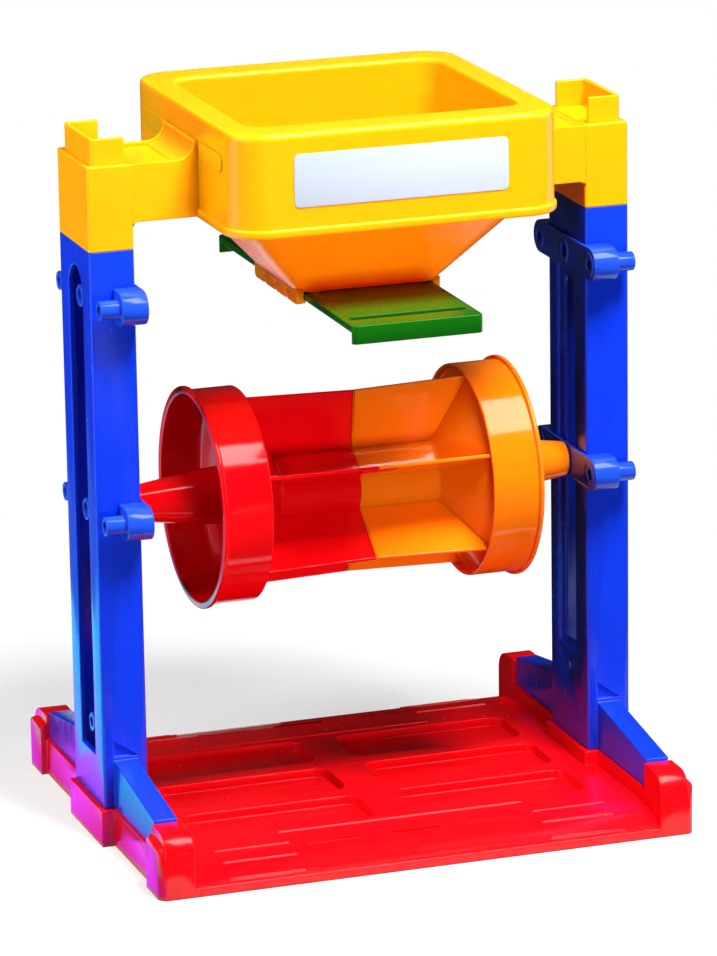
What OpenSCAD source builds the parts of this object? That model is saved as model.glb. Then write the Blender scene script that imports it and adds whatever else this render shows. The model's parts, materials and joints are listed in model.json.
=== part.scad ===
// Sand and water mill: a hopper on two posts lets sand or water run through a slide gate
// onto a two-part paddle wheel, which turns in height-adjustable brackets above a moulded base.
// Frame: origin at the bottom centre of the base, +Z up, +X to the right, -Y to the front.

/* [Overall] */
// Distance between the centre planes of the two posts
post_spacing = 281; // [265:1:340]
// Height of the hopper rim above the ground
total_h = 400; // [380:1:500]
// Wall of the large mouldings
wall = 2.5; // [2:0.1:3.2]
// Gap between pieces that slide on each other
slide_gap = 0.3; // [0.2:0.05:0.5]
// Gap between pieces that are pushed together
push_gap = 0.15; // [0.05:0.05:0.3]

/* [Base] */
// Depth of the base from front edge to back edge
base_d = 254; // [230:1:310]
// Height of the flat top
base_top = 12.5; // [10:0.5:16]
// Height of the front and back edges
base_edge_h = 4.7; // [3.5:0.1:7]
// Depth of the curved border along the front and back edges
border_d = 32; // [24:1:40]
// Length of the three shallow trays
tray_l = 224; // [160:1:236]
// Width of each tray
tray_w = 39; // [28:0.5:42]
// Spacing of the trays from front to back
tray_pitch = 51; // [46:0.5:56]
// Depth of the trays
tray_depth = 5; // [3:0.5:6]
// Corner radius of the trays
tray_r = 8; // [4:0.5:12]
// Width of the bridge that divides each tray
bridge_w = 21; // [10:1:40]
// Height of the ledges that carry the posts
ledge_h = 20.4; // [16:0.2:26]
// How far a ledge stands out round a foot
ledge_rim = 1.6; // [1:0.1:3]
// How far the ledge stands out round a column
pad_rim = 2.6; // [1.5:0.1:4]
// Depth of the corner blocks
block_d = 25.5; // [20:0.5:32]
// Height of the corner blocks above the ledge
block_rise = 14.4; // [12:0.2:16]
// Radius of the corner blocks' upper front edge
block_edge_r = 12; // [6:0.5:16]
// How far a corner block stands out from the side wall
block_out = 3.6; // [2.6:0.1:6]
// Step down from a corner block's top to its outer shoulder
block_step = 4.4; // [2:0.2:6]
// Radius of the base's upright corners
block_corner_r = 5; // [3:0.5:8]
// Height of the raised grip ribs
rib_h = 0.7; // [0.4:0.1:1.2]
// Width of the raised grip ribs
rib_w = 1.5; // [1:0.1:2.5]
// Height of the tenon that goes up into a column
tenon_h = 16; // [10:1:20]
// Depth of that tenon
tenon_d = 26; // [16:1:40]

/* [Posts] */
// Width of a column, side to side
col_w = 25; // [22:0.5:32]
// Depth of a column, front to back
col_d = 57; // [50:0.5:64]
// Radius of the column's upright edges
col_r = 1.6; // [0.8:0.1:2.2]
// Width of a foot
foot_w = 13; // [10:0.5:18]
// Height of a foot where it meets the column
foot_root_h = 27.6; // [20:0.2:32]
// Height of a foot at its end
foot_end_h = 16.2; // [12:0.2:20]
// Wall of a column
col_wall = 3; // [2.4:0.1:4]
// Width of the window in the outer face
window_w = 26; // [20:0.5:34]
// Bottom of the window in the outer face
window_z = 47.5; // [44:0.5:60]
// Distance from the window's top to the hopper's socket
window_gap = 12.4; // [6:0.2:24]
// Bottom of the slot in the inner face
slot_z = 77.5; // [74:0.5:96]
// Distance from the slot's top to the hopper's socket
slot_gap = 44; // [40:0.5:60]
// Margin of the sunk panel round the slot's sides
panel_side = 7.5; // [5:0.5:10]
// Margin of the sunk panel beyond the slot's ends
panel_end = 4.8; // [3:0.2:6]
// Depth of the sunk panel
panel_depth = 1.2; // [0.6:0.1:1.6]
// Height of the stop peg below the slot
peg_z = 62; // [60:0.5:64]
// Diameter of the stop peg's tip
peg_d = 5; // [4:0.5:6]
// How far that tip stands out of the column's inner face
peg_proud = 0.6; // [0.2:0.1:1]

/* [Brackets] */
// Distance of the upper brackets below the hopper's socket
upper_drop = 29.4; // [24:0.2:34]
// Thickness of the bar across the column's inner face
bar_t = 1.6; // [1.2:0.1:5]
// Radius of the round lobes at the ends of the bar
lobe_r = 9.2; // [8:0.1:11]
// Length of the cheeks along the column's front and back faces
cheek_l = 12.8; // [8:0.2:18]
// Outer diameter of the hollow pegs
tube_d = 10.4; // [8:0.2:13]
// Bore of the hollow pegs
tube_bore = 6; // [4.5:0.1:7]
// Length of the hollow pegs beyond the cheeks
tube_l = 11; // [6:0.5:14]
// Height of the raised rings round the three holes
ring_h = 0.4; // [0.3:0.1:1.2]
// Outer diameter of the raised rings
ring_d = 13; // [11:0.5:16]
// Wall of the bearing tube that reaches through the slot
bearing_wall = 2; // [1.5:0.1:3]
// Distance from the bearing tube's end to the column's outer face
guide_inset = 2; // [1:0.1:4]
// Thickness of the collar on that tube, which runs in the slot
collar_t = 1.15; // [0.6:0.05:2]

/* [Wheel] */
// Distance from the hopper's outlet down to the wheel's axis at rest
axis_drop = 117.3; // [100:0.1:140]
// How far the lip stands out round each drum
lip_out = 2.2; // [1:0.1:4]
// Width of that lip
lip_w = 2.4; // [1.5:0.1:4]
// Radius of each drum
drum_r = 58.8; // [50:0.2:63]
// Length of each drum
drum_l = 28.5; // [20:0.5:34]
// Distance from the wheel's middle to a drum's outer edge
drum_x = 91.3; // [84:0.1:96]
// Wall of the wheel mouldings
wheel_wall = 2.2; // [1.6:0.1:3]
// Distance from a drum's inner edge to the dished web
web_inset = 5; // [2:0.5:8]
// Number of paddles on each half
paddle_n = 6; // [5:1:8]
// Distance from the paddles' outer edges to the drum's surface, at the middle of the wheel
paddle_inset = 5; // [4:0.2:12]
// How much further the paddles reach out where they meet the drums
paddle_flare = 2; // [0:0.1:3]
// Thickness of a paddle
paddle_t = 2; // [1.4:0.1:3]
// Angle of the paddle that points to the front, above level
paddle_phase = 22; // [0:1:60]
// Radius of the hub between the paddles
hub_r = 19.4; // [15:0.2:24]
// Slope of the dished web: axial rise for each unit of radius
web_slope = 0.57; // [0.3:0.01:0.7]
// Radius of the tapered stub where it passes the drum's edge
stub_mid_r = 14.4; // [11:0.1:16]
// Radius of the stub's tip
stub_tip_r = 9.6; // [7.5:0.1:11]
// Diameter of the journals
journal_d = 8; // [6:0.1:9]
// Length of the journals
journal_l = 5; // [4:0.5:12]
// Radial running clearance of a journal
running_fit = 0.06; // [0.02:0.01:0.1]

/* [Hopper] */
// Width of the hopper, side to side
hopper_w = 183; // [170:1:200]
// Depth of the hopper, front to back
hopper_d = 187; // [160:1:225]
// Radius of the hopper's upright corners
hopper_r = 20; // [14:0.5:26]
// Height of the upright skirt
skirt_h = 55.7; // [50:0.1:62]
// Width of the rim at the sides
rim_side = 15; // [11:0.5:20]
// Width of the rim at the front and back
rim_front = 23; // [11:0.5:26]
// Corner radius of the opening in the rim
bowl_r = 13; // [8:0.5:18]
// Height of the bead along the skirt's lower edge
bead_h = 4.5; // [3:0.1:7]
// How far the bead stands out
bead_out = 1.3; // [0.8:0.1:2.5]
// Height of the funnel below the skirt
funnel_h = 44.5; // [38:0.5:52]
// Thickness of the floor round the outlet
floor_t = 3; // [2:0.1:4]
// Length of the funnel's lower end, front to back
collar_l = 74; // [66:0.5:90]
// Length of the outlet, front to back
outlet_l = 60; // [40:0.5:64]
// Height of the flat arches at the funnel's lower front and back edges
arch_h = 5; // [2:0.2:8]
// Width of those arches
arch_w = 54; // [30:0.5:60]
// Height of the arms' bottom edge above the skirt's lower edge
arm_rise = 0.4; // [0:0.1:3]
// Height of the arms
arm_h = 31.6; // [26:0.1:36]
// Radius of the fillet between an arm and the skirt
arm_fillet = 10; // [6:0.5:18]
// How far an arm's front and back stand in from its socket's
arm_inset = 0.5; // [0.2:0.1:1.5]
// Depth of the channel along an arm's top
channel_h = 2.4; // [1:0.1:4]
// Thickness of the ridge where that channel ends on the skirt
ridge_t = 2; // [1.4:0.1:3]
// Height of the raised pads on the skirt beside the arms
pad_h = 10.4; // [6:0.2:14]
// How far those pads stand out
pad_out = 0.8; // [0.4:0.1:1.5]
// How far the sockets reach down below the arms
socket_drop = 14.4; // [10:0.1:20]
// Height of the stacking spigots
spigot_h = 14.3; // [8:0.1:20]
// Step between a socket's top and its spigot
spigot_step = 3.2; // [2:0.1:5]

/* [Gate] */
// Width of the gate
gate_w = 73; // [60:0.5:88]
// Length of the gate
gate_l = 233; // [210:1:280]
// Thickness of the gate's plate
gate_t = 3; // [2:0.1:4]
// Height of the lips at the gate's ends
gate_lip_h = 10; // [7.5:0.1:12]
// Height of the gate's side skirts
gate_side_h = 3.8; // [3.4:0.1:6.5]
// Radius of the gate's corners
gate_r = 3; // [1:0.1:5]
// How far the gate reaches past the outlet's sides
gate_lap = 7; // [5:0.5:10]
// Overlap of the closed gate in front of and behind the outlet
gate_seal = 2; // [1:0.5:4]
// Length of the opening behind the gate's closed part
gate_hole_l = 38; // [20:0.5:44]
// Width of the finger slot near each end
finger_w = 6.8; // [3:0.1:9]
// Distance from a finger slot's ends to the gate's sides
finger_side = 3.8; // [3:0.1:10]
// Distance from the finger slot to the gate's end
finger_gap = 17.5; // [10:0.5:24]
// Number of lobes on each rail
rail_n = 4; // [2:1:6]
// Length of each lobe
rail_lobe = 18.5; // [16:0.5:30]
// Thickness of the rails
rail_t = 3.8; // [2.5:0.1:5]

/* [Label] */
// Width of the blank label
label_w = 119; // [80:1:130]
// Height of the blank label
label_h = 28.6; // [18:0.2:34]
// Thickness of the label
label_t = 0.4; // [0.2:0.1:0.8]

/* [Hidden] */
$fn = 96;
blend_fn = 32;
eps = 0.5;

post_x = post_spacing / 2;
col_in = post_x - col_w / 2;
col_out = post_x + col_w / 2;
foot_end = base_d / 2 - block_d;
strip_half = foot_w / 2 + ledge_rim;
side_x = post_x + strip_half;
block_x = side_x + block_out;
pad_half_x = col_w / 2 + pad_rim;
pad_half_y = col_d / 2 + pad_rim;
border_y = base_d / 2 - border_d;
border_drop = base_top - base_edge_h;
border_r = (border_d * border_d + border_drop * border_drop) / (2 * border_drop);

rim_z = total_h;
skirt_z = rim_z - skirt_h;
outlet_z = skirt_z - funnel_h;
arm_z = skirt_z + arm_rise;
arm_top = arm_z + arm_h;
socket_z = arm_z - socket_drop;
neck_z = arm_top - wall - push_gap;
bowl_w = hopper_w - 2 * rim_side;
bowl_d = hopper_d - 2 * rim_front;
outlet_w = gate_w - 2 * gate_lap;
outlet_r = 6;

gate_z = outlet_z - slide_gap;
rail_in = gate_w / 2 + slide_gap;
rail_out = rail_in + rail_t;
collar_w = 2 * rail_out - wall;
rail_lip = 2;
rail_z = gate_z - gate_side_h - slide_gap - rail_lip;

window_top = socket_z - window_gap;
slot_top = socket_z - slot_gap;
axis_z = outlet_z - axis_drop;
upper_z = socket_z - upper_drop;
bar_out_x = col_in - slide_gap;
bar_in_x = bar_out_x - bar_t;
lobe_y = col_d / 2 + slide_gap + lobe_r;
ring_x = bar_in_x - ring_h;
bearing_r = journal_d / 2 + running_fit;
guide_r = bearing_r + bearing_wall;
guide_end = col_out - guide_inset;
slot_w = 2 * (guide_r + collar_t + slide_gap);

lip_r = drum_r + lip_out;
paddle_r = drum_r - paddle_inset;
stub_x = ring_x - slide_gap;
drum_in_x = drum_x - drum_l;
web_x = drum_in_x + web_inset;
hub_x = web_x - web_slope * (drum_r - hub_r);
joint_gap = 0.1;
spigot_l = 10;

// Rectangle with round corners, drawn about the origin.
module round_rect(w, d, r) {
    square([w - 2 * r, d], center = true);
    square([w, d - 2 * r], center = true);
    for (sx = [-1, 1], sy = [-1, 1])
        translate([sx * (w / 2 - r), sy * (d / 2 - r)]) circle(r);
}

// Slot shape with round ends along its length l, drawn about the origin.
module stadium(l, w) {
    square([l - w, w], center = true);
    for (side = [-1, 1]) translate([side * (l - w) / 2, 0]) circle(w / 2);
}

// Upright block with round corners from z0 to z1.
module round_box(w, d, r, z0, z1) {
    translate([0, 0, z0]) linear_extrude(z1 - z0) round_rect(w, d, r);
}

// Block from one corner to the other.
module block(a, b) {
    translate(a) cube(b - a);
}

// A profile drawn in (y, z), carried along X from x0 to x1.
module along_x(x0, x1) {
    translate([x0, 0, 0]) rotate([90, 0, 90]) linear_extrude(x1 - x0) children();
}

// A profile drawn in (x, z), carried along Y and centred there.
module along_y(length) {
    translate([0, length / 2, 0]) rotate([90, 0, 0]) linear_extrude(length) children();
}

// Cylinder along X from x0 to x1.
module rod_x(r, x0, x1) {
    translate([x0, 0, 0]) rotate([0, 90, 0]) cylinder(r = r, h = x1 - x0);
}

// Side view of the base: flat in the middle, falling in an arc to the front and back edges.
// t draws it inside the walls, a negative t outside them.
module base_section(t) {
    translate([-border_y, 0]) square([2 * border_y, base_top - t]);
    for (side = [0, 1]) mirror([side, 0])
        intersection() {
            translate([border_y - eps, 0]) square([border_d + eps - max(t, 0), base_top]);
            translate([border_y, base_top - border_r]) circle(border_r - t);
        }
}

// The three trays, each in two halves with a bridge between, grown by t.
module trays(t) {
    half_l = (tray_l - bridge_w) / 2;
    for (row = [-1, 0, 1], side = [-1, 1])
        translate([side * (bridge_w + half_l) / 2, row * tray_pitch, base_top - tray_depth - t])
            linear_extrude(2 * tray_depth) round_rect(half_l + 2 * t, tray_w + 2 * t, tray_r + t);
}

// The ledge and the column pad on one side of the base, inside the walls by t.
module base_side(t) {
    block([post_x - strip_half + t, -foot_end - eps, 0], [side_x - t, foot_end + eps, ledge_h - t]);
    block([post_x - pad_half_x + t, -pad_half_y + t, 0],
        [post_x + pad_half_x - t, pad_half_y - t, ledge_h - t]);
}

// The two blocks across the ends of the feet on one side, each with a lower outer shoulder.
module corner_blocks(t) {
    top = ledge_h + block_rise;
    intersection() {
        round_box(2 * (block_x - t), base_d - 2 * t, block_corner_r, 0, top);
        for (side = [0, 1]) mirror([0, side, 0]) {
            along_x(post_x - strip_half + t, side_x - t) block_side(top, t);
            intersection() {
                along_x(post_x, block_x) block_side(top - block_step, t);
                along_y(base_d) block_front(top - block_step, t);
            }
        }
    }
}

// Side view of a corner block, with its upper front edge rounded.
module block_side(top, t) {
    translate([foot_end + t, 0]) {
        square([block_d - 2 * t, top - block_edge_r]);
        square([block_d - block_edge_r, top - t]);
        translate([block_d - block_edge_r - t, top - block_edge_r]) circle(block_edge_r - t);
    }
}

// Front view of a corner block's shoulder, with its upper outer edge rounded.
module block_front(top, t) {
    square([block_x - t, top - block_corner_r]);
    square([block_x - block_corner_r, top - t]);
    translate([block_x - block_corner_r, top - block_corner_r]) circle(block_corner_r - t);
}

// Raised ribs on the borders: a row of dashes between two stacks of three.
module grip_ribs() {
    dash_l = 29;
    dash_pitch = 46;
    stack_x = 91;
    stack_l = 42;
    edge_l = 140;
    dash_y = border_y + 4;
    edge_y = border_y - 18.5;
    stack_pitch = 14;
    intersection() {
        along_x(-post_x, post_x) base_section(-rib_h);
        for (side = [0, 1]) mirror([0, side, 0]) {
            for (i = [-1, 0, 1]) rib(i * dash_pitch, dash_y, dash_l);
            for (i = [-1, 1], row = [0, 1, 2]) rib(i * stack_x, border_y + row * stack_pitch, stack_l);
            rib(0, edge_y, edge_l);
        }
    }
}

// Upright slab that cuts one rib of length l out of the raised section.
module rib(x, y, l) {
    block([x - l / 2, y - rib_w / 2, base_edge_h], [x + l / 2, y + rib_w / 2, base_top + 2 * rib_h]);
}

// Stiffening ribs under the base.
module under_ribs() {
    rib_t = 1.8;
    intersection() {
        along_x(-post_x, post_x) base_section(wall / 2);
        union() {
            for (x = [-3 : 3])
                block([x * tray_l / 6 - rib_t / 2, -base_d / 2 + wall / 2, 0],
                    [x * tray_l / 6 + rib_t / 2, base_d / 2 - wall / 2, base_top]);
            for (y = [-1.5 : 1.5])
                block([-post_x, y * tray_pitch - rib_t / 2, 0],
                    [post_x, y * tray_pitch + rib_t / 2, base_top]);
        }
    }
}

// Everything that the base's outer skin or its hollow underside is made of.
module base_form(t) {
    difference() {
        along_x(-post_x + t, post_x - t) base_section(t);
        trays(t);
    }
    for (side = [0, 1]) mirror([side, 0, 0]) {
        base_side(t);
        corner_blocks(t);
    }
}

module base() color("red") {
    difference() {
        base_form(0);
        difference() {
            translate([0, 0, -eps]) base_form(wall);
            under_ribs_solid();
        }
    }
    grip_ribs();
    for (side = [0, 1]) mirror([side, 0, 0]) tenon();
}

// The ribs kept when the underside is hollowed, cut clear below the trays.
module under_ribs_solid() {
    difference() {
        under_ribs();
        trays(wall / 2);
    }
}

// Tenon that goes up into the open lower end of a column.
module tenon() {
    half_x = col_w / 2 - col_wall - push_gap;
    block([post_x - half_x, -tenon_d / 2, ledge_h - wall],
        [post_x + half_x, tenon_d / 2, ledge_h + tenon_h]);
}

// One post, standing at post_x: hollow column with two feet and a neck for the hopper.
// leg puts the upright leg of the root pockets on the outer side (1) or the inner side (-1).
module post(leg) color("royalblue") {
    neck_w = col_w - 2 * wall - 2 * push_gap;
    neck_d = col_d - 2 * wall - 2 * push_gap;
    difference() {
        union() {
            translate([post_x, 0, 0]) {
                round_box(col_w, col_d, col_r, ledge_h, socket_z);
                round_box(neck_w, neck_d, col_r, ledge_h, neck_z);
            }
            for (side = [0, 1]) mirror([0, side, 0]) foot(0);
        }
        for (side = [0, 1]) mirror([0, side, 0]) foot(wall);
        translate([post_x, 0, 0]) {
            round_box(col_w - 2 * col_wall, col_d - 2 * col_wall, col_r, ledge_h - eps,
                socket_z - col_wall);
            round_box(neck_w - 2 * wall, neck_d - 2 * wall, col_r, ledge_h, neck_z - wall);
        }
        along_x(col_out - col_wall - eps, col_out + eps) arched(window_w, window_z, window_top);
        along_x(col_in - eps, col_in + col_wall + eps) {
            arched(slot_w, slot_z, slot_top);
            translate([0, upper_z]) circle(slot_w / 2 - slide_gap + push_gap / 2);
            translate([0, peg_z]) circle(peg_d / 2 + push_gap / 2);
        }
        along_x(col_in - eps, col_in + panel_depth)
            translate([0, (slot_z + slot_top) / 2])
                round_rect(slot_w + 2 * panel_side, slot_top - slot_z + 2 * panel_end, 3);
        for (side = [0, 1]) mirror([0, side, 0]) root_pocket(leg);
    }
}

// Upright opening with a round top, drawn in (y, z).
module arched(w, bottom, top) {
    translate([-w / 2, bottom]) square([w, top - w / 2 - bottom]);
    translate([0, top - w / 2]) circle(w / 2);
}

// One foot: a tapered beam from the column to the corner block, inside the walls by t.
module foot(t) {
    root_y = col_d / 2 - wall + t;
    along_x(post_x - foot_w / 2 + t, post_x + foot_w / 2 - t)
        translate([0, ledge_h - (t > 0 ? eps : 0)])
            polygon([[root_y, 0], [foot_end - push_gap - t, 0], [foot_end - push_gap - t, foot_end_h - t],
                [root_y, foot_root_h - t]]);
}

// Three-cornered pocket in the column's face just above the foot.
module root_pocket(leg) {
    pocket_h = 9;
    pocket_depth = 1.6;
    pocket_gap = 1.5;
    translate([post_x, -col_d / 2 + pocket_depth, ledge_h + foot_root_h + pocket_gap])
        rotate([90, 0, 0]) linear_extrude(pocket_depth + eps)
            polygon([[-foot_w / 2, 0], [foot_w / 2, 0], [leg * foot_w / 2, pocket_h]]);
}

// Peg below the slot, with its tip in the inner wall and its hollow end in the window.
module stop_peg() color("mediumblue") {
    translate([0, 0, peg_z]) difference() {
        union() {
            rod_x(peg_d / 2, col_in - peg_proud, col_in + col_wall + push_gap + eps);
            rod_x(tube_d / 2, col_in + col_wall + push_gap, guide_end);
        }
        rod_x(tube_bore / 2, col_in + 2 * col_wall, guide_end + eps);
    }
}

// One bracket at height 0, on the post at post_x: a bar across the column's inner face, two cheeks
// with hollow pegs along its front and back faces, and a bearing tube that runs in the slot.
module bracket() color("blue") {
    cheek_end = bar_out_x + cheek_l;
    tube_end = cheek_end + tube_l;
    difference() {
        union() {
            along_x(bar_in_x, bar_out_x) stadium(2 * (lobe_y + lobe_r), 2 * lobe_r);
            for (side = [0, 1]) mirror([0, side, 0]) {
                block([bar_out_x - eps, lobe_y - lobe_r, -lobe_r], [cheek_end, lobe_y, lobe_r]);
                translate([0, lobe_y, 0]) {
                    rod_x(lobe_r, bar_in_x, cheek_end);
                    rod_x(tube_d / 2, cheek_end - eps, tube_end);
                    rod_x(ring_d / 2, ring_x, bar_in_x + eps);
                }
            }
            rod_x(ring_d / 2, ring_x, bar_in_x + eps);
            rod_x(guide_r + collar_t, bar_out_x - eps, col_in + col_wall);
            rod_x(guide_r, bar_out_x - eps, guide_end);
        }
        for (side = [-1, 1])
            translate([0, side * lobe_y, 0]) rod_x(tube_bore / 2, ring_x - eps, tube_end + eps);
        rod_x(bearing_r, ring_x - eps, guide_end + eps);
    }
}

// Section of one wheel half, drawn as (radius, distance from the middle).
module wheel_section() {
    translate([drum_r - wheel_wall, drum_in_x]) square([wheel_wall, drum_l]);
    translate([drum_r - wheel_wall, drum_x - lip_w]) square([lip_r - drum_r + wheel_wall, lip_w]);
    polygon([[hub_r - wheel_wall, hub_x], [drum_r - wheel_wall / 2, web_x],
        [drum_r - wheel_wall / 2, web_x + wheel_wall], [hub_r - wheel_wall, hub_x + wheel_wall]]);
    translate([hub_r - wheel_wall, joint_gap / 2]) square([wheel_wall, hub_x + wheel_wall / 2]);
    polygon([[hub_r, hub_x], [stub_mid_r, drum_x], [stub_tip_r, stub_x], [0, stub_x],
        [0, stub_x - 2 * wheel_wall], [stub_tip_r - wheel_wall, stub_x - 2 * wheel_wall],
        [stub_mid_r - wheel_wall, drum_x], [hub_r - wheel_wall, hub_x]]);
    translate([0, stub_x - eps]) square([journal_d / 2, journal_l + eps]);
}

// One wheel half on the +X side, without what joins it to the other half.
module wheel_half() {
    root_r = paddle_r + paddle_flare;
    rotate([0, 90, 0]) rotate_extrude() wheel_section();
    for (i = [0 : paddle_n - 1]) turn_paddle(i)
        linear_extrude(paddle_t, center = true)
            polygon([[joint_gap / 2, hub_r - wheel_wall / 2], [joint_gap / 2, paddle_r],
                [web_at(root_r) + wheel_wall / 2, root_r],
                [web_at(hub_r) + wheel_wall / 2, hub_r - wheel_wall / 2]]);
}

// Axial place of the web's inner face at radius r.
function web_at(r) = web_x - web_slope * (drum_r - r);

// Puts a shape drawn in (axial, radial) at the place of paddle i.
module turn_paddle(i) {
    rotate([90 - paddle_phase - i * 360 / paddle_n, 0, 0]) rotate([90, 0, 0]) children();
}

module wheel_right_half() color("orange") {
    translate([0, 0, axis_z]) wheel_half();
}

// The left half carries the spigot, and on every other paddle a tongue that laps the right half.
module wheel_left_half() color("red") {
    tongue_l = 10;
    tongue_h = 5;
    tongue_t = 1.2;
    tongue_gap = 0.1;
    spigot_r = hub_r - wheel_wall - push_gap;
    translate([0, 0, axis_z]) {
        mirror([1, 0, 0]) wheel_half();
        difference() {
            union() {
                rod_x(spigot_r, -spigot_l, spigot_l);
                rod_x(hub_r - wheel_wall / 2, -spigot_l, -joint_gap);
            }
            rod_x(spigot_r - wheel_wall, -spigot_l - eps, spigot_l + eps);
        }
        for (i = [0 : 2 : paddle_n - 1]) turn_paddle(i)
            translate([0, paddle_r - tongue_h, paddle_t / 2]) {
                block([-tongue_l, 0, -tongue_gap], [-joint_gap, tongue_h, tongue_t]);
                translate([0, 0, tongue_gap]) linear_extrude(tongue_t - tongue_gap)
                    polygon([[-joint_gap - eps, 0], [tongue_l / 2, 0], [tongue_l, tongue_h / 2],
                        [tongue_l, tongue_h], [-joint_gap - eps, tongue_h]]);
            }
    }
}

// The bowl and funnel, inside their outer surface by t.
module bowl(t) {
    w = bowl_w + 2 * wall - 2 * t;
    d = bowl_d + 2 * wall - 2 * t;
    r = bowl_r + wall - t;
    past = t > 0 ? eps : 0;
    hull() {
        round_box(w, d, r, skirt_z, skirt_z + eps, $fn = blend_fn);
        round_box(collar_w - 2 * t, collar_l - 2 * t, outlet_r + wall - t, outlet_z - past, outlet_z + eps,
            $fn = blend_fn);
    }
    round_box(w, d, r, skirt_z, rim_z - eps + 2 * past);
}

// Flat arches sunk into the funnel's lower front and back edges.
module arches() {
    difference() {
        along_y(2 * collar_l) translate([0, outlet_z]) round_rect(arch_w, 2 * arch_h, 4);
        bowl(wall / 2);
    }
}

// Floor round the outlet.
module outlet_floor() {
    difference() {
        round_box(collar_w - wall, collar_l - wall, outlet_r, outlet_z, outlet_z + floor_t);
        round_box(outlet_w, outlet_l, outlet_r, outlet_z - eps, outlet_z + floor_t + eps);
    }
}

// One of the two lobed rails that hold the gate, at +X.
module gate_rail() {
    hole_r = 1.3;
    foot_r = 3.2;
    hole_gap = 0.6;
    hole_z = rail_z + foot_r + hole_gap + hole_r;
    rail_l = rail_n * rail_lobe;
    rail_top = outlet_z + floor_t - eps;
    lobe_h = rail_top - rail_z;
    difference() {
        along_x(rail_in, rail_out) {
            for (i = [0 : rail_n - 1])
                translate([(i - (rail_n - 1) / 2) * rail_lobe, rail_z + lobe_h / 2])
                    round_rect(rail_lobe, lobe_h, foot_r);
            translate([-rail_l / 2, rail_top - lobe_h / 2]) square([rail_l, lobe_h / 2]);
        }
        for (i = [1 : rail_n - 1]) translate([0, (i - rail_n / 2) * rail_lobe, hole_z])
            rod_x(hole_r, rail_out - rail_t / 2, rail_out + eps);
    }
    for (i = [0 : rail_n - 1])
        translate([rail_in, (i - (rail_n - 1) / 2) * rail_lobe, rail_z])
            block([-rail_lip, -rail_lobe / 2 + foot_r, 0], [eps, rail_lobe / 2 - foot_r, rail_lip]);
}

// Side view of an arm's fillet, drawn as (x, z) from the ridge's foot: a quarter hollow of the
// arm's fillet radius, deepened by t.
module fillet_hollow(t) {
    translate([ridge_t + arm_fillet, arm_fillet]) circle(arm_fillet + t);
}

// Raised pads on the skirt, in front of and behind an arm, at +X.
module arm_pads() {
    pad_l = 40;
    pad_r = 4;
    pad_y = col_d / 2 + pad_l / 2 + wall;
    for (side = [-1, 1])
        along_x(hopper_w / 2 - eps, hopper_w / 2 + pad_out)
            translate([side * pad_y, arm_top + pad_h / 2]) round_rect(pad_l, pad_h, pad_r);
}

// Arm, socket and stacking spigot on one side of the hopper, at +X.
module hopper_arm() {
    arm_d = col_d - 2 * arm_inset;
    channel_d = arm_d - 2 * wall;
    fillet_sink = 1.2;
    root_r = 3;
    skirt_x = hopper_w / 2;
    fillet_x = skirt_x + ridge_t + arm_fillet;
    spigot_w = col_w - 2 * spigot_step;
    spigot_d = col_d - 2 * spigot_step;
    difference() {
        union() {
            block([skirt_x - wall, -arm_d / 2, arm_z], [post_x, arm_d / 2, arm_top]);
            translate([post_x, 0, 0]) round_box(col_w, col_d, col_r, socket_z, arm_top);
            translate([skirt_x, 0, arm_top]) along_y(arm_d) difference() {
                translate([-eps, -eps]) square([ridge_t + arm_fillet + eps, arm_fillet + eps]);
                fillet_hollow(0);
            }
            translate([col_in, 0, arm_z]) along_y(arm_d) difference() {
                translate([-root_r, -root_r]) square(root_r + eps);
                translate([-root_r, -root_r]) circle(root_r);
            }
            translate([post_x, 0, 0])
                round_box(spigot_w, spigot_d, col_r, arm_top - eps, arm_top + spigot_h);
        }
        block([skirt_x + eps, -channel_d / 2, socket_z],
            [col_in - wall, channel_d / 2, arm_top - wall - channel_h]);
        block([fillet_x, -channel_d / 2, arm_top - channel_h],
            [col_in - wall / 2, channel_d / 2, arm_top + eps]);
        translate([skirt_x, 0, arm_top]) along_y(channel_d) intersection() {
            fillet_hollow(fillet_sink);
            translate([ridge_t / 4, -channel_h])
                square([ridge_t + arm_fillet, arm_fillet + channel_h - ridge_t]);
        }
        translate([post_x, 0, 0])
            round_box(col_w - 2 * wall, col_d - 2 * wall, col_r, socket_z - eps, arm_top - wall);
        block([post_x - spigot_w / 2 - eps, -spigot_d / 2 + wall, arm_top],
            [post_x + spigot_w / 2 - wall, spigot_d / 2 - wall, arm_top + spigot_h + eps]);
    }
    arm_pads();
}

module hopper() color("gold") {
    difference() {
        union() {
            round_box(hopper_w, hopper_d, hopper_r, skirt_z, rim_z);
            round_box(hopper_w + 2 * bead_out, hopper_d + 2 * bead_out, hopper_r + bead_out, skirt_z,
                skirt_z + bead_h);
        }
        round_box(hopper_w - 2 * wall, hopper_d - 2 * wall, hopper_r - wall, skirt_z - eps, rim_z - wall);
        round_box(bowl_w, bowl_d, bowl_r, skirt_z, rim_z + eps);
    }
    difference() {
        bowl(0);
        bowl(wall);
        arches();
    }
    outlet_floor();
    for (side = [0, 1]) mirror([side, 0, 0]) {
        gate_rail();
        hopper_arm();
    }
}

module hopper_label() color("white") {
    label_r = 3;
    label_z = skirt_z + bead_h + (skirt_h - bead_h) / 2;
    translate([0, -hopper_d / 2, label_z])
        rotate([90, 0, 0]) linear_extrude(label_t) round_rect(label_w, label_h, label_r);
}

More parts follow.
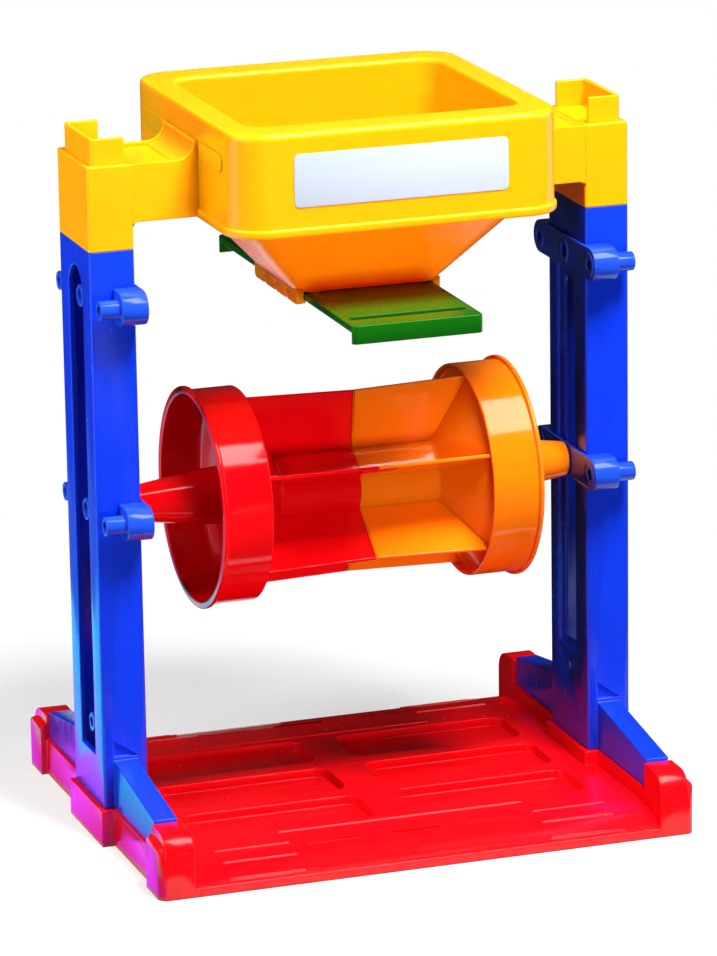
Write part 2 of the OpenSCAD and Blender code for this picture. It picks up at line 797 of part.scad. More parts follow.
// Slide gate: a plate with side skirts, end lips and a finger slot near each end. Pulled to the
// front, it brings its opening under the outlet.
module gate() color("limegreen") {
    hole_y = outlet_l / 2 + gate_seal + gate_hole_l / 2;
    finger_y = gate_l / 2 - finger_gap;
    difference() {
        round_box(gate_w, gate_l, gate_r, gate_z - gate_lip_h, gate_z);
        block([-gate_w / 2 + wall, -gate_l / 2 + wall, gate_z - gate_lip_h - eps],
            [gate_w / 2 - wall, gate_l / 2 - wall, gate_z - gate_t]);
        block([-gate_w / 2 - eps, -gate_l / 2 + wall, gate_z - gate_lip_h - eps],
            [gate_w / 2 + eps, gate_l / 2 - wall, gate_z - gate_side_h]);
        translate([0, hole_y, 0])
            round_box(outlet_w, gate_hole_l, outlet_r, gate_z - gate_t - eps, gate_z + eps);
        for (side = [-1, 1])
            translate([0, side * finger_y, gate_z - gate_t - eps]) linear_extrude(gate_t + 2 * eps)
                stadium(gate_w - 2 * finger_side, finger_w);
    }
}

module on_left() {
    mirror([1, 0, 0]) children();
}

base();
on_left() post(1);  // left_post
post(-1);  // right_post
on_left() stop_peg();  // left_stop_peg
stop_peg();  // right_stop_peg
on_left() translate([0, 0, axis_z]) bracket();  // lower_left_bracket
translate([0, 0, axis_z]) bracket();  // lower_right_bracket
on_left() translate([0, 0, upper_z]) bracket();  // upper_left_bracket
translate([0, 0, upper_z]) bracket();  // upper_right_bracket
wheel_left_half();
wheel_right_half();
hopper();
hopper_label();
gate();
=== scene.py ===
# %% [markdown]
# # A sand and water mill
# The real toy is pushed together from thick mouldings of bright polypropylene: a red base, two
# blue posts, a yellow hopper with a green slide gate, and a paddle wheel of a red and an orange
# half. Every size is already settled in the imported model, so this lesson finishes the surfaces:
# it rounds the edges as a mould does, rebuilds the wheel and the hopper from smooth formulas,
# gives each plastic its colour and gloss, and lights and frames the mill.

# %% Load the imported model
import json
import math

import bmesh
import bpy
import numpy as np
from mathutils import Matrix, Vector
from mathutils.geometry import tessellate_polygon


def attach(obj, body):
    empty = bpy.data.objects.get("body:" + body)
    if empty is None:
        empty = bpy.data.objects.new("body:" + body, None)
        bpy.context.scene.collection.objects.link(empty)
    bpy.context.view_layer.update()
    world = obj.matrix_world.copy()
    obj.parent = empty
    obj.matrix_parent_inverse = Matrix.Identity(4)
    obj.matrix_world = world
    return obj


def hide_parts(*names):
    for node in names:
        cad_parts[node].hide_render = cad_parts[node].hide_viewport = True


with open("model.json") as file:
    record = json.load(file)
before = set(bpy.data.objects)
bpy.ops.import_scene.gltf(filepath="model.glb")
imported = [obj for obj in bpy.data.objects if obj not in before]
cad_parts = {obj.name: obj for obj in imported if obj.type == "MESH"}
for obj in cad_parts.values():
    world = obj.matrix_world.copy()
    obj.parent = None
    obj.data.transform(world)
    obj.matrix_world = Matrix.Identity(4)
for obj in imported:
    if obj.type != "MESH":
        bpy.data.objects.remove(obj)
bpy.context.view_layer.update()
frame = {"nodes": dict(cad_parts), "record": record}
scene = bpy.context.scene
MM = 0.001
body_of_node = {
    node: body
    for body, nodes in frame["record"]["behaviour"]["bodies"].items()
    for node in nodes
}
slot_of_node = {
    row["node"]: row["material_slot"] for row in frame["record"]["subparts"]
}

# %% [markdown]
# ## The camera
# The photograph was taken from the front, a little from the left and above, with a long lens. The
# angles, the distance and the lens come from fitting a camera to the straight edges of the posts,
# the hopper and the base. The camera is placed by its three axes, because that keeps the small
# roll of the picture.

# %% Camera at the photograph's viewpoint
AZIMUTH = math.radians(-18.739)
ELEVATION = math.radians(15.438)
ROLL = math.radians(-0.906)
DISTANCE = 3.0660
AIM_HEIGHT = 0.200
SHIFT_RIGHT = 0.0047
SHIFT_UP = -0.0154
PICTURE_HEIGHT = 956
FOCAL_PIXELS = 5601.9
SENSOR = 36.0

back = Vector((
    math.sin(AZIMUTH) * math.cos(ELEVATION),
    -math.cos(AZIMUTH) * math.cos(ELEVATION),
    math.sin(ELEVATION),
))
side = (-back).cross(Vector((0, 0, 1))).normalized()
top = side.cross(-back)
place = back * DISTANCE + Vector((0, 0, AIM_HEIGHT)) + side * SHIFT_RIGHT + top * SHIFT_UP
rolled_side = side * math.cos(ROLL) + top * math.sin(ROLL)
rolled_top = top * math.cos(ROLL) - side * math.sin(ROLL)

camera_data = bpy.data.cameras.new("photo_camera")
camera_data.sensor_width = SENSOR
camera_data.lens = FOCAL_PIXELS * SENSOR / PICTURE_HEIGHT
camera = bpy.data.objects.new("photo_camera", camera_data)
scene.collection.objects.link(camera)
camera.matrix_world = Matrix((
    (rolled_side.x, rolled_top.x, back.x, place.x),
    (rolled_side.y, rolled_top.y, back.y, place.y),
    (rolled_side.z, rolled_top.z, back.z, place.z),
    (0, 0, 0, 1),
))
scene.camera = camera
print("camera at", [round(v, 3) for v in place], "lens", round(camera_data.lens, 1))

# %% [markdown]
# ## Studio light
# The base behind the wheel, the funnel and the inner side of the right post lie in deep shade, so
# the light comes from high in front: a large key lamp a little to the right, a weaker lamp high at
# the left, a strip beside the left post, and a low lamp in front for the undersides. None of them
# shows in the gloss, because the mirror images on the drums show one large bright sheet with
# straight edges, which a later step adds. Two small warm lamps below the hopper stand for the
# light that its thin wall lets through. A faint even world fills the rest.

# %% Helpers for node trees
def new_tree(owner):
    """Clears the owner's node tree and returns its nodes and links."""
    owner.use_nodes = True
    owner.node_tree.nodes.clear()
    return owner.node_tree.nodes, owner.node_tree.links


def seen_directly(nodes, links):
    """One where a camera, glossy or transmission ray arrives, zero for diffuse light."""
    path = nodes.new("ShaderNodeLightPath")
    first = nodes.new("ShaderNodeMath")
    first.operation = "MAXIMUM"
    links.new(path.outputs["Is Camera Ray"], first.inputs[0])
    links.new(path.outputs["Is Glossy Ray"], first.inputs[1])
    second = nodes.new("ShaderNodeMath")
    second.operation = "MAXIMUM"
    links.new(first.outputs[0], second.inputs[0])
    links.new(path.outputs["Is Transmission Ray"], second.inputs[1])
    return second.outputs[0]


# %% World
WORLD_FILL = 0.08
WORLD_SEEN = 1.0
world = bpy.data.worlds.new("white_sweep")
scene.world = world
nodes, links = new_tree(world)
fill = nodes.new("ShaderNodeBackground")
fill.inputs["Strength"].default_value = WORLD_FILL
sweep = nodes.new("ShaderNodeBackground")
sweep.inputs["Strength"].default_value = WORLD_SEEN
pick = nodes.new("ShaderNodeMixShader")
links.new(seen_directly(nodes, links), pick.inputs[0])
links.new(fill.outputs[0], pick.inputs[1])
links.new(sweep.outputs[0], pick.inputs[2])
links.new(pick.outputs[0], nodes.new("ShaderNodeOutputWorld").inputs[0])
for background in (fill, sweep):
    background.inputs["Color"].default_value = (1, 1, 1, 1)
scene.view_settings.view_transform = "Standard"


# %% Lamps
def area_lamp(name, at, aim, width, height, watts, tint=(1.0, 1.0, 1.0)):
    """A rectangular lamp at a point, turned to its aim, that neither gloss nor camera shows."""
    data = bpy.data.lights.new(name, "AREA")
    data.shape = "RECTANGLE"
    data.size = width
    data.size_y = height
    data.energy = watts
    data.color = tint
    lamp = bpy.data.objects.new(name, data)
    scene.collection.objects.link(lamp)
    lamp.location = at
    lamp.rotation_euler = (Vector(aim) - Vector(at)).to_track_quat("-Z", "Y").to_euler()
    lamp.visible_glossy = False
    lamp.visible_camera = False
    return lamp


area_lamp("key", (0.25, -0.68, 1.60), (0.0, 0.0, 0.22), width=0.5, height=0.5, watts=58)
area_lamp("low_front", (0.10, -1.50, 0.14), (0.0, 0.0, 0.25), width=0.5, height=0.2, watts=12)
area_lamp("left_high", (-0.75, -0.30, 1.50), (-0.10, 0.0, 0.28), width=0.5, height=0.5, watts=13)
area_lamp(
    "left_strip", (-0.36, 0.02, 0.28), (-0.14, 0.0, 0.26), width=0.12, height=0.45, watts=0.85)
area_lamp(
    "funnel_glow", (0.0, -0.110, 0.306), (0.0, -0.05, 0.322),
    width=0.11, height=0.012, watts=0.032, tint=(1.0, 0.06, 0.01))
area_lamp(
    "rail_glow", (-0.105, -0.02, 0.300), (-0.04, -0.01, 0.304),
    width=0.03, height=0.03, watts=0.022, tint=(1.0, 0.28, 0.05))

# %% [markdown]
# ## Floor and flags
# The mill stands on a white sweep. Near the mill the floor is half matt paper, which takes the
# shadow, and half glow; further off it is as bright as the background, so that no horizon shows.
# To diffuse light it is dark, so that it doesn't lift the shade under the hopper.
#
# A glossy plastic looks like what it mirrors. So a few sheets stand around the mill that only the
# gloss sees: one bright softbox at the right, and dark flags behind the mill, overhead, behind the
# camera and on the floor in front, which keep the colours deep where a white studio would veil
# them. On the floor at the left lie a cool card, a dimmer one behind it for the wheel's lip, and
# a narrow violet one next to the base. They give the low left faces the blue and pink sheen that
# they have in the photograph.

# %% White floor
FLOOR_SEEN = 0.80
FLOOR_BOUNCE = 0.05
FLOOR_SIZE = 30.0
FLOOR_GLOW = 0.5
FADE_FROM, FADE_TO = 0.24, 0.62
floor_mesh = bpy.data.meshes.new("floor")
corners = FLOOR_SIZE / 2 * np.array([[-1, -1, 0], [1, -1, 0], [1, 1, 0], [-1, 1, 0]])
floor_mesh.from_pydata(corners.tolist(), [], [[0, 1, 2, 3]])
floor = bpy.data.objects.new("floor", floor_mesh)
scene.collection.objects.link(floor)
paper = bpy.data.materials.new("floor_paper")
nodes, links = new_tree(paper)
reach = nodes.new("ShaderNodeVectorMath")
reach.operation = "LENGTH"
links.new(nodes.new("ShaderNodeTexCoord").outputs["Object"], reach.inputs[0])
fade = nodes.new("ShaderNodeMapRange")
fade.interpolation_type = "SMOOTHSTEP"
fade.inputs["From Min"].default_value = FADE_FROM
fade.inputs["From Max"].default_value = FADE_TO
fade.inputs["To Min"].default_value = FLOOR_GLOW
links.new(reach.outputs["Value"], fade.inputs["Value"])
near = nodes.new("ShaderNodeBsdfDiffuse")
near.inputs["Color"].default_value = (FLOOR_SEEN, FLOOR_SEEN, FLOOR_SEEN, 1)
far = nodes.new("ShaderNodeEmission")
far.inputs["Color"].default_value = (1, 1, 1, 1)
shown = nodes.new("ShaderNodeMixShader")
links.new(fade.outputs["Result"], shown.inputs[0])
links.new(near.outputs[0], shown.inputs[1])
links.new(far.outputs[0], shown.inputs[2])
bounce = nodes.new("ShaderNodeBsdfDiffuse")
bounce.inputs["Color"].default_value = (FLOOR_BOUNCE, FLOOR_BOUNCE, FLOOR_BOUNCE, 1)
pick = nodes.new("ShaderNodeMixShader")
links.new(seen_directly(nodes, links), pick.inputs[0])
links.new(bounce.outputs[0], pick.inputs[1])
links.new(shown.outputs[0], pick.inputs[2])
links.new(pick.outputs[0], nodes.new("ShaderNodeOutputMaterial").inputs[0])
floor_mesh.materials.append(paper)

# %% Helpers for sheets that only the gloss sees
FLAG_DARK = 0.02
flag_cloth = bpy.data.materials.new("flag_cloth")
nodes, links = new_tree(flag_cloth)
cloth = nodes.new("ShaderNodeBsdfDiffuse")
cloth.inputs["Color"].default_value = (FLAG_DARK, FLAG_DARK, FLAG_DARK, 1)
links.new(cloth.outputs[0], nodes.new("ShaderNodeOutputMaterial").inputs[0])


def gloss_sheet(name, corners, cover):
    """A four-cornered sheet that only the gloss sees."""
    mesh = bpy.data.meshes.new(name)
    mesh.from_pydata(corners, [], [[0, 1, 2, 3]])
    mesh.materials.append(cover)
    sheet = bpy.data.objects.new(name, mesh)
    scene.collection.objects.link(sheet)
    sheet.visible_camera = False
    sheet.visible_diffuse = False
    sheet.visible_transmission = False
    sheet.visible_shadow = False
    return sheet


def flag(name, x_from, x_to, foot, head, cover=flag_cloth):
    """A gloss sheet between a foot and a head line given as (y, z)."""
    return gloss_sheet(
        name, [(x_from, *foot), (x_to, *foot), (x_to, *head), (x_from, *head)], cover)


def shining(name, colour, strength):
    """An even glow for sheets that the gloss mirrors."""
    material = bpy.data.materials.new(name)
    nodes, links = new_tree(material)
    glow = nodes.new("ShaderNodeEmission")
    glow.inputs["Color"].default_value = (*colour, 1)
    glow.inputs["Strength"].default_value = strength
    links.new(glow.outputs[0], nodes.new("ShaderNodeOutputMaterial").inputs[0])
    return material


# %% Softbox, flags and cards
SOFTBOX_AT, SOFTBOX_AIM = Vector((0.40, -0.52, 1.36)), Vector((0.0, 0.0, 0.19))
SOFTBOX_HALF_W, SOFTBOX_HALF_H, SOFTBOX_GLOW = 0.45, 0.375, 8.0
turn = (SOFTBOX_AIM - SOFTBOX_AT).to_track_quat("-Z", "Y")
softbox_corners = [
    SOFTBOX_AT + turn @ Vector((x * SOFTBOX_HALF_W, y * SOFTBOX_HALF_H, 0))
    for x, y in ((-1, -1), (1, -1), (1, 1), (-1, 1))
]
softbox_cloth = shining("softbox_cloth", (1, 1, 1), SOFTBOX_GLOW)
cool_card = shining("cool_card", (0.10, 0.80, 1.0), 2.3)
dim_card = shining("dim_card", (0.20, 0.45, 1.0), 0.55)
violet_card = shining("violet_card", (0.50, 0.06, 0.90), 3.2)
NEAR_Y, FAR_Y, FRONT_Y = 0.135, 0.85, -3.9
FLAG_W, CEILING_Z = 3.0, 2.5
CARD_FRONT_Y, CARD_BACK_Y, CARD_SPLIT_X, CARD_Z = -0.14, 0.42, -0.183, 0.002
flags = [
    gloss_sheet("softbox", softbox_corners, softbox_cloth),
    flag("flag_near", 0.0, 0.40, (NEAR_Y, 0), (NEAR_Y, 1.0)),
    flag("flag_top", -FLAG_W, FLAG_W, (FRONT_Y, CEILING_Z), (FAR_Y, CEILING_Z)),
    flag("flag_far", -FLAG_W, FLAG_W, (FAR_Y, 0), (FAR_Y, 2.6)),
    flag("flag_front", -5.0, 5.0, (FRONT_Y, 0), (FRONT_Y, 3.2)),
    flag("flag_floor", -FLAG_W, FLAG_W, (FRONT_Y, 0.001), (-0.15, 0.001)),
    flag(
        "card_left", -1.0, CARD_SPLIT_X,
        (CARD_FRONT_Y, CARD_Z), (CARD_BACK_Y, CARD_Z), cool_card),
    flag("card_back", -1.0, -0.05, (CARD_BACK_Y, CARD_Z), (FAR_Y, CARD_Z), dim_card),
    flag("card_low", CARD_SPLIT_X, -0.15, (CARD_FRONT_Y, CARD_Z), (0.35, CARD_Z), violet_card),
]
print("floor", FLOOR_SIZE, "m,", len(flags), "sheets for the gloss")

# %% [markdown]
# ## Moulded polypropylene
# Every piece is the same kind of plastic in another colour: a smooth gloss from a polished
# mould, faint clouding where the pigment isn't quite even, fine scuffs from play, and a hint of
# light passing through thin walls, which warms the yellow and orange in the shade. A Principled
# shader with a little subsurface does all that. Noise on Object coordinates drives the clouding,
# the gloss and a very fine bump, so the marks stay on a piece when it moves. The base's grip ribs
# are too narrow for a large modelled radius, so a Bevel node widens the sheen along their edges.

# %% The plastic as one function
CLOUD_SCALE, SCUFF_SCALE, PEEL_SCALE = 22, 160, 420
SCUFF_FROM, SCUFF_TO, SCUFF_STRETCH = 0.35, 0.75, (1, 1, 0.35)
PEEL_STRENGTH, PEEL_DEPTH = 0.10, 0.0002
PLASTIC_IOR, EDGE_SAMPLES, RIB_SOFT_EDGE = 1.49, 6, 0.0011
SHORT, WARM = (0.004, 0.002, 0.001), (0.008, 0.003, 0.001)


def moulded(
    name, colour, cloud, rough, glow=0.0, reach=SHORT, seed=0.0, shine=0.5, soft_edge=0.0):
    """Glossy moulded plastic: colour drifts to cloud by a slow noise, roughness runs between
    rough[0] and rough[1] by a scuff noise stretched along Z, and a fine noise gives the bump.
    Light enters by the share glow and travels reach. Edges shade as if rounded by soft_edge."""
    material = bpy.data.materials.new(name)
    nodes, links = new_tree(material)
    shader = nodes.new("ShaderNodeBsdfPrincipled")
    shader.inputs["IOR"].default_value = PLASTIC_IOR
    shader.inputs["Specular IOR Level"].default_value = shine
    shader.inputs["Subsurface Weight"].default_value = glow
    shader.inputs["Subsurface Radius"].default_value = reach
    shader.inputs["Subsurface Scale"].default_value = 1.0
    links.new(shader.outputs[0], nodes.new("ShaderNodeOutputMaterial").inputs[0])
    place = nodes.new("ShaderNodeTexCoord").outputs["Object"]

    def noise(scale, detail, stretch=(1, 1, 1)):
        """A noise on the piece's own coordinates, moved by the seed."""
        mapping = nodes.new("ShaderNodeMapping")
        mapping.inputs["Location"].default_value = (seed, seed * 0.7, seed * 0.3)
        mapping.inputs["Scale"].default_value = stretch
        links.new(place, mapping.inputs["Vector"])
        texture = nodes.new("ShaderNodeTexNoise")
        texture.inputs["Scale"].default_value = scale
        texture.inputs["Detail"].default_value = detail
        links.new(mapping.outputs[0], texture.inputs["Vector"])
        return texture.outputs["Fac"]

    drift = nodes.new("ShaderNodeMix")
    drift.data_type = "RGBA"
    drift.inputs["A"].default_value = (*colour, 1)
    drift.inputs["B"].default_value = (*cloud, 1)
    links.new(noise(CLOUD_SCALE, 4), drift.inputs["Factor"])
    links.new(drift.outputs["Result"], shader.inputs["Base Color"])

    scuff = nodes.new("ShaderNodeMapRange")
    scuff.inputs["From Min"].default_value = SCUFF_FROM
    scuff.inputs["From Max"].default_value = SCUFF_TO
    scuff.inputs["To Min"].default_value = rough[0]
    scuff.inputs["To Max"].default_value = rough[1]
    links.new(noise(SCUFF_SCALE, 3, SCUFF_STRETCH), scuff.inputs["Value"])
    links.new(scuff.outputs[0], shader.inputs["Roughness"])

    peel = nodes.new("ShaderNodeBump")
    peel.inputs["Strength"].default_value = PEEL_STRENGTH
    peel.inputs["Distance"].default_value = PEEL_DEPTH
    links.new(noise(PEEL_SCALE, 3), peel.inputs["Height"])
    if soft_edge:
        rounding = nodes.new("ShaderNodeBevel")
        rounding.samples = EDGE_SAMPLES
        rounding.inputs["Radius"].default_value = soft_edge
        links.new(rounding.outputs[0], peel.inputs["Normal"])
    links.new(peel.outputs[0], shader.inputs["Normal"])
    return material


# %% The plastics
plastics = {
    "base_red": moulded(
        "base_red", (0.80, 0.002, 0.006), (0.72, 0.001, 0.005), (0.16, 0.28),
        seed=1, soft_edge=RIB_SOFT_EDGE),
    "post_blue": moulded(
        "post_blue", (0.004, 0.034, 0.64), (0.003, 0.029, 0.57), (0.18, 0.30), seed=2),
    "bracket_blue": moulded(
        "bracket_blue", (0.012, 0.062, 0.62), (0.010, 0.054, 0.55), (0.12, 0.22), seed=3),
    "wheel_red": moulded(
        "wheel_red", (0.82, 0.002, 0.005), (0.74, 0.001, 0.004), (0.08, 0.15),
        glow=0.15, seed=4),
    "wheel_orange": moulded(
        "wheel_orange", (0.97, 0.205, 0.003), (0.95, 0.18, 0.002), (0.08, 0.15),
        glow=0.45, reach=WARM, seed=5),
    "hopper_yellow": moulded(
        "hopper_yellow", (0.97, 0.395, 0.003), (0.95, 0.36, 0.002), (0.16, 0.26),
        glow=0.50, reach=WARM, seed=6),
    "label_white": moulded(
        "label_white", (0.43, 0.475, 0.56), (0.41, 0.455, 0.54), (0.28, 0.32), seed=7),
    "gate_green": moulded(
        "gate_green", (0.004, 0.10, 0.003), (0.003, 0.08, 0.002), (0.20, 0.30),
        seed=8, shine=0.25),
}
print("plastics", sorted(plastics))


# %% [markdown]
# ## Edges as a mould leaves them
# No edge of a moulding is sharp: each has a small radius, and that radius is what catches the
# light as a thin bright line along trays, slots and rims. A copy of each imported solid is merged
# into one closed skin, its flat facets are joined, and a Bevel modifier rounds every edge that
# turns by more than a few degrees. The copy then stands for the solid. The base's grip ribs are
# only a millimetre and a half wide and the label is a thin film, so their radii are the smallest.

# %% Finish shared by every piece
def stand_for(piece, node):
    """Gives a piece its node's plastic, body and slot, and smooth faces."""
    mesh = piece.data
    mesh.materials.clear()
    mesh.materials.append(plastics[slot_of_node[node]])
    mesh.polygons.foreach_set("use_smooth", np.ones(len(mesh.polygons), dtype=bool))
    scene.collection.objects.link(piece)
    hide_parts(node)
    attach(piece, body_of_node[node])
    return piece


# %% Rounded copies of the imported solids
FLAT_DEGREES = 0.4


def rounded_copy(node, radius, steps=3, turn=28, merge=2e-6):
    """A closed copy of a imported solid: vertices nearer than merge become one, facets of one
    plane become one face, and edges turning more than turn degrees get that radius."""
    mesh = frame["nodes"][node].data.copy()
    mesh.name = node + "_moulding"
    skin = bmesh.new()
    skin.from_mesh(mesh)
    bmesh.ops.remove_doubles(skin, verts=skin.verts, dist=merge)
    bmesh.ops.dissolve_limit(
        skin, angle_limit=math.radians(FLAT_DEGREES), verts=skin.verts, edges=skin.edges)
    open_edges = sum(not edge.is_manifold for edge in skin.edges)
    skin.to_mesh(mesh)
    skin.free()
    piece = stand_for(bpy.data.objects.new(node + "_moulding", mesh), node)
    edge = piece.modifiers.new("edges", "BEVEL")
    edge.limit_method = "ANGLE"
    edge.angle_limit = math.radians(turn)
    edge.width = radius
    edge.segments = steps
    edge.use_clamp_overlap = False
    edge.harden_normals = True
    print(node, len(mesh.polygons), "faces,", open_edges, "open edges")
    return piece


EDGE_RADIUS = {
    "base": 0.0003,
    "left_post": 0.0007,
    "right_post": 0.0007,
    "left_stop_peg": 0.0003,
    "right_stop_peg": 0.0003,
    "lower_left_bracket": 0.0005,
    "lower_right_bracket": 0.0005,
    "upper_left_bracket": 0.0005,
    "upper_right_bracket": 0.0005,
    "hopper_label": 0.00012,
    "gate": 0.0006,
}
for node, radius in EDGE_RADIUS.items():
    rounded_copy(node, radius)


# %% [markdown]
# ## Surfaces from formulas
# A wheel that is turned and a hopper that is drawn from rounded rectangles show every facet of a
# coarse mesh in their mirror images. They are built again as fine grids: a profile with soft
# corners is carried round an axis, or round rectangles of changing size. Flat walls are plates
# with a rounded edge.

# %% Soft corners and sheets
SIDE_SHARE = 0.45


def unit(vectors):
    """Vectors of length one."""
    return vectors / np.maximum(np.linalg.norm(vectors, axis=1, keepdims=True), 1e-9)


def soften(rows, reach, steps=4):
    """Rounds the corners C of a closed line: each becomes (1-t)^2 A + 2t(1-t) C + t^2 B, where A
    and B lie the corner's reach before and after it, at most SIDE_SHARE of a side."""
    rows = np.asarray(rows, dtype=float)
    ahead = np.roll(rows, -1, axis=0) - rows
    behind = np.roll(rows, 1, axis=0) - rows
    reach = np.broadcast_to(np.asarray(reach, dtype=float), len(rows))[:, None]
    room_ahead = SIDE_SHARE * np.linalg.norm(ahead, axis=1, keepdims=True)
    room_behind = SIDE_SHARE * np.linalg.norm(behind, axis=1, keepdims=True)
    before = rows + unit(behind) * np.minimum(reach, room_behind)
    after = rows + unit(ahead) * np.minimum(reach, room_ahead)
    t = np.linspace(0, 1, steps + 1)[None, :, None]
    before, corner, after = before[:, None], rows[:, None], after[:, None]
    curve = (1 - t) ** 2 * before + 2 * t * (1 - t) * corner + t ** 2 * after
    return curve.reshape(-1, rows.shape[1])


def sheet(grid, close_rows, close_columns):
    """Points and four-sided faces of a grid (rows, columns, 3), joined to itself where closed."""
    count = np.arange(grid.shape[0] * grid.shape[1]).reshape(grid.shape[:2])
    if close_rows:
        count = np.vstack([count, count[:1]])
    if close_columns:
        count = np.hstack([count, count[:, :1]])
    faces = np.stack([count[:-1, :-1], count[:-1, 1:], count[1:, 1:], count[1:, :-1]], axis=-1)
    return grid.reshape(-1, 3), faces.reshape(-1, 4).tolist()


# %% Turned surfaces and rounded rectangles
def turned(section, height, segments=224, open_ended=False):
    """Revolves rows of (radius r, place x) about the X axis at a height:
    (x, r cos a, height + r sin a)."""
    angle = np.linspace(0, 2 * np.pi, segments, endpoint=False)
    radius, along = section[:, :1], section[:, 1:]
    grid = np.stack([
        np.broadcast_to(along, (len(section), segments)),
        radius * np.cos(angle),
        height + radius * np.sin(angle),
    ], axis=-1)
    return sheet(grid, not open_ended, True)


def ring_grid(rows, corner_steps=10, side_steps=40):
    """Loops round rectangles with round corners, from rows of (half x, half y, radius, z). A
    corner is its centre + radius (cos a, sin a); the sides run straight between corners."""
    half_x, half_y, radius, z = (np.asarray(rows)[:, k:k + 1] for k in range(4))
    quarter = np.linspace(0, np.pi / 2, corner_steps + 1)
    corners = [
        np.stack([
            sign_x * (half_x - radius) + radius * np.cos(quarter + turn),
            sign_y * (half_y - radius) + radius * np.sin(quarter + turn),
        ], axis=-1)
        for sign_x, sign_y, turn in (
            (1, 1, 0), (-1, 1, np.pi / 2), (-1, -1, np.pi), (1, -1, 3 * np.pi / 2))
    ]
    share = np.linspace(0, 1, side_steps + 1)[1:-1, None]
    parts = []
    for here, following in zip(corners, corners[1:] + corners[:1]):
        parts += [here, here[:, -1:] * (1 - share) + following[:, :1] * share]
    loops = np.concatenate(parts, axis=1)
    return np.dstack([loops, np.broadcast_to(z, loops.shape[:2])])


# %% Plates with rounded edges
PIT_STEPS, FLAT_RING, LEAST_MITRE = 24, 1.6, 0.3


def plate(outline, low, high, edge, pits=(), steps=3):
    """A plate of an outline (u, v) between two heights w. Its edge is a quarter round: at angle a
    the outline stands in by edge (1 - sin a) and is edge (1 - cos a) from the face. A narrow flat
    ring inside the round keeps the face's shading flat. Pits are (u, v, radius, depth) in the
    high face."""
    outline = np.asarray(outline, dtype=float)
    ahead = unit(np.roll(outline, -1, axis=0) - outline)
    normal_ahead = ahead[:, ::-1] * (1, -1)
    normal_behind = np.roll(normal_ahead, 1, axis=0)
    mitre = normal_ahead + normal_behind
    mitre = mitre / np.maximum((mitre * normal_ahead).sum(axis=1, keepdims=True), LEAST_MITRE)
    turn = np.linspace(0, np.pi / 2, steps + 1)
    stand_in = np.append(FLAT_RING * edge, edge * (1 - np.sin(turn)))
    rise = np.append(0, edge * (1 - np.cos(turn)))
    inset = np.concatenate([stand_in, stand_in[::-1]])
    level = np.concatenate([low + rise, high - rise[::-1]])
    flat = outline[None] - mitre[None] * inset[:, None, None]
    grid = np.dstack([flat, np.broadcast_to(level[:, None], flat.shape[:2])])
    points, faces = sheet(grid, False, True)
    size = len(outline)
    floor_cap = tessellate_polygon([[Vector(point) for point in points[:size]]])
    faces += [list(face) for face in floor_cap]
    numbers = list(range(len(points) - size, len(points)))
    loops = [points[numbers]]
    around = np.linspace(0, 2 * np.pi, PIT_STEPS, endpoint=False)
    for u, v, radius, depth in pits:
        circle = np.stack([u + radius * np.cos(around), v + radius * np.sin(around)], axis=1)
        wall = np.stack([
            np.column_stack([circle, np.full(PIT_STEPS, high)]),
            np.column_stack([circle, np.full(PIT_STEPS, high - depth)]),
        ])
        wall_points, wall_faces = sheet(wall, False, True)
        start = len(points)
        points = np.vstack([points, wall_points])
        faces += (np.asarray(wall_faces) + start).tolist()
        faces.append(list(range(start + PIT_STEPS, start + 2 * PIT_STEPS)))
        loops.append(wall[0])
        numbers += list(range(start, start + PIT_STEPS))
    cap = tessellate_polygon([[Vector(point) for point in loop] for loop in loops])
    faces += [[numbers[index] for index in face] for face in cap]
    return points, faces


# %% One mesh from several closed shells
WELD = 1e-7


def moulding(node, shells):
    """Joins closed shells in millimetres into one piece that stands for a node."""
    points, faces, start = [], [], 0
    for shell_points, shell_faces in shells:
        points.append(shell_points)
        faces += [[index + start for index in face] for face in shell_faces]
        start += len(shell_points)
    mesh = bpy.data.meshes.new(node + "_moulding")
    mesh.from_pydata((np.concatenate(points) * MM).tolist(), [], faces)
    skin = bmesh.new()
    skin.from_mesh(mesh)
    bmesh.ops.remove_doubles(skin, verts=skin.verts, dist=WELD)
    bmesh.ops.dissolve_degenerate(skin, edges=skin.edges, dist=WELD)
    bmesh.ops.recalc_face_normals(skin, faces=skin.faces)
    open_edges = sum(not edge.is_manifold for edge in skin.edges)
    skin.to_mesh(mesh)
    skin.free()
    piece = stand_for(bpy.data.objects.new(node + "_moulding", mesh), node)
    shading = piece.modifiers.new("flat_faces", "WEIGHTED_NORMAL")
    shading.weight = 100
    print(node, len(mesh.polygons), "faces,", len(shells), "shells,", open_edges, "open edges")
    return piece


# %% [markdown]
# ## The paddle wheel
# Each half is one moulding: a drum with a lip, a dished web, a hub, a tapered stub with a
# journal, and six paddles. The section of the drum, web, hub and stub is one closed line, turned
# about the axle; its soft corners make the bright rings along the lips. The paddles are plates
# that reach from the hub to the web, and on the red half every other paddle has a tongue that
# laps the orange half.

# %% The turned section of one half
AXLE_Z = 182.5
JOINT = 0.05
HUB_R, DRUM_R, LIP_R, WHEEL_WALL = 19.4, 58.8, 61.0, 2.2
DRUM_IN, DRUM_OUT, LIP_W = 62.8, 91.3, 2.4
WEB_X, WEB_SLOPE = 67.8, 0.57
STUB_ROOT_R, STUB_TIP_R, STUB_END = 14.4, 9.6, 125.4
JOURNAL_R, JOURNAL_END = 4.0, 130.4


def web_at(radius):
    """Place along the axle of the dished web's inner face: x0 - slope (R - r)."""
    return WEB_X - WEB_SLOPE * (DRUM_R - radius)


drum_inside = DRUM_R - WHEEL_WALL
hub_inside = HUB_R - WHEEL_WALL
